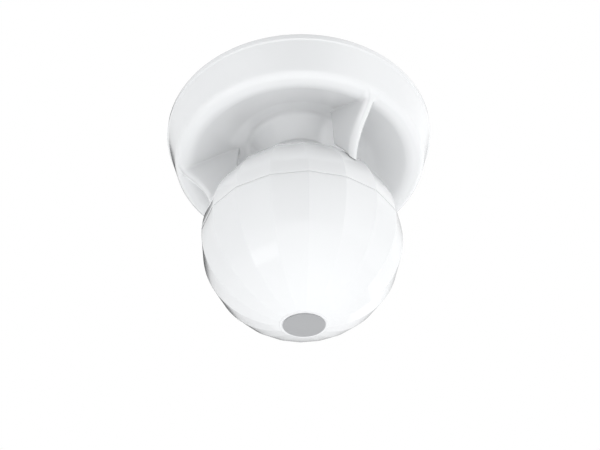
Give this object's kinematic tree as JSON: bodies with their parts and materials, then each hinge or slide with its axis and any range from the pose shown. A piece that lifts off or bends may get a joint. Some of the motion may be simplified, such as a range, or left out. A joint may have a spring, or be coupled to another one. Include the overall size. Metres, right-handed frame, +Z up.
{
  "type": "ceiling motion sensor",
  "caption": "Ceiling motion sensor: an opaque gored ball hung by a conical neck and radial fins below a rolled-lip dish that twists onto a ceiling plate; the lower shell pulls off.",
  "frame": {"origin": "centre of the face that lies on the ceiling", "axes": "+Z up into the ceiling, the ball hangs towards -Z; a gore edge of the ball lies on -Y and the fins stand at 60, 180 and 300 degrees from +X"},
  "size_m": [0.15, 0.15, 0.1219],
  "materials": {
    "white_housing": "smooth glossy moulded plastic",
    "badge_grey": "satin grey printed disc, blank",
    "plate_plastic": "fine matt moulded plastic",
    "black_insulator": "matt glass-filled plastic",
    "black_rubber": "matt rubber",
    "contact_brass": "stamped spring brass",
    "screw_steel": "bright zinc plated",
    "shield_tin": "tinned sheet",
    "green_board": "solder resist over glass epoxy",
    "relay_blue": "satin moulded case",
    "ferrite": "sintered dark grey",
    "winding_tape": "yellow polyester tape",
    "capacitor_sleeve": "shrunk sleeve over a can",
    "varistor_blue": "dipped epoxy",
    "nylon_natural": "natural nylon",
    "chip_black": "moulded epoxy",
    "led_red": "diffused lens",
    "sensor_clear": "water-clear lens",
    "trimmer_blue": "moulded body",
    "dial_white": "moulded dial",
    "lead_brown": "wire insulation",
    "lead_blue": "wire insulation",
    "lead_black": "wire insulation",
    "lead_earth": "wire insulation"
  },
  "bodies": {
    "ceiling_plate": {"mounting_plate": "plate_plastic", "cable_grommet": "black_rubber", "terminal_block": "black_insulator", "base_contact_1": "contact_brass", "base_contact_2": "contact_brass", "base_contact_3": "contact_brass", "base_contact_4": "contact_brass", "terminal_screw_1": "screw_steel", "terminal_screw_2": "screw_steel", "terminal_screw_3": "screw_steel", "terminal_screw_4": "screw_steel"},
    "head": {"canopy": "white_housing", "contact_disc": "black_insulator", "contact_blade_1": "contact_brass", "contact_blade_2": "contact_brass", "contact_blade_3": "contact_brass", "contact_blade_4": "contact_brass", "disc_screw_1": "screw_steel", "disc_screw_2": "screw_steel", "disc_screw_3": "screw_steel", "upper_shell": "white_housing", "hub_screw_1": "screw_steel", "hub_screw_2": "screw_steel", "hub_screw_3": "screw_steel", "neck_grommet": "black_rubber", "main_board": "green_board", "board_screw_1": "screw_steel", "board_screw_2": "screw_steel", "board_screw_3": "screw_steel", "relay": "relay_blue", "transformer_core": "ferrite", "transformer_winding": "winding_tape", "filter_capacitor": "capacitor_sleeve", "output_capacitor": "capacitor_sleeve", "surge_varistor": "varistor_blue", "harness_socket": "nylon_natural", "harness_plug": "nylon_natural", "lead_1": "lead_brown", "lead_2": "lead_blue", "lead_3": "lead_black", "lead_4": "lead_earth", "radar_header": "black_insulator", "radar_board": "green_board", "radar_shield": "shield_tin", "microcontroller": "chip_black", "status_led": "led_red", "light_sensor": "sensor_clear", "sensitivity_trimmer_body": "trimmer_blue", "time_trimmer_body": "trimmer_blue", "light_level_trimmer_body": "trimmer_blue", "tamper_switch_body": "black_insulator", "tamper_spring": "screw_steel"},
    "lower_cover": {"lower_shell": "white_housing", "seam_gasket": "black_rubber", "badge": "badge_grey"},
    "sensitivity_adjuster": {"sensitivity_dial": "dial_white"},
    "time_adjuster": {"time_dial": "dial_white"},
    "light_level_adjuster": {"light_level_dial": "dial_white"},
    "tamper_button": {"tamper_plunger": "nylon_natural"}
  },
  "joints": [
    {"name": "head_twist", "type": "hinge", "parent": "ceiling_plate", "child": "head", "pos_m": [0, 0, 0], "axis": [0, 0, 1], "range_deg": [0, 20]},
    {"name": "shell_release", "type": "slide", "parent": "head", "child": "lower_cover", "axis": [0, 0, -1], "range_m": [0, 0.06]},
    {"name": "sensitivity_turn", "type": "hinge", "parent": "head", "child": "sensitivity_adjuster", "pos_m": [-0.02719, -0.01268, -0.0665], "axis": [0, 0, -1], "range_deg": [-135, 135]},
    {"name": "time_turn", "type": "hinge", "parent": "head", "child": "time_adjuster", "pos_m": [-0.02007, -0.02229, -0.0665], "axis": [0, 0, -1], "range_deg": [-135, 135]},
    {"name": "light_level_turn", "type": "hinge", "parent": "head", "child": "light_level_adjuster", "pos_m": [-0.00977, -0.02837, -0.0665], "axis": [0, 0, -1], "range_deg": [-135, 135]},
    {"name": "tamper_press", "type": "slide", "parent": "head", "child": "tamper_button", "axis": [0, 0, 1], "range_m": [0, 0.0008], "stiffness_N_per_m": 400, "springref_m": -0.0015, "deforming": ["tamper_spring"]}
  ]
}
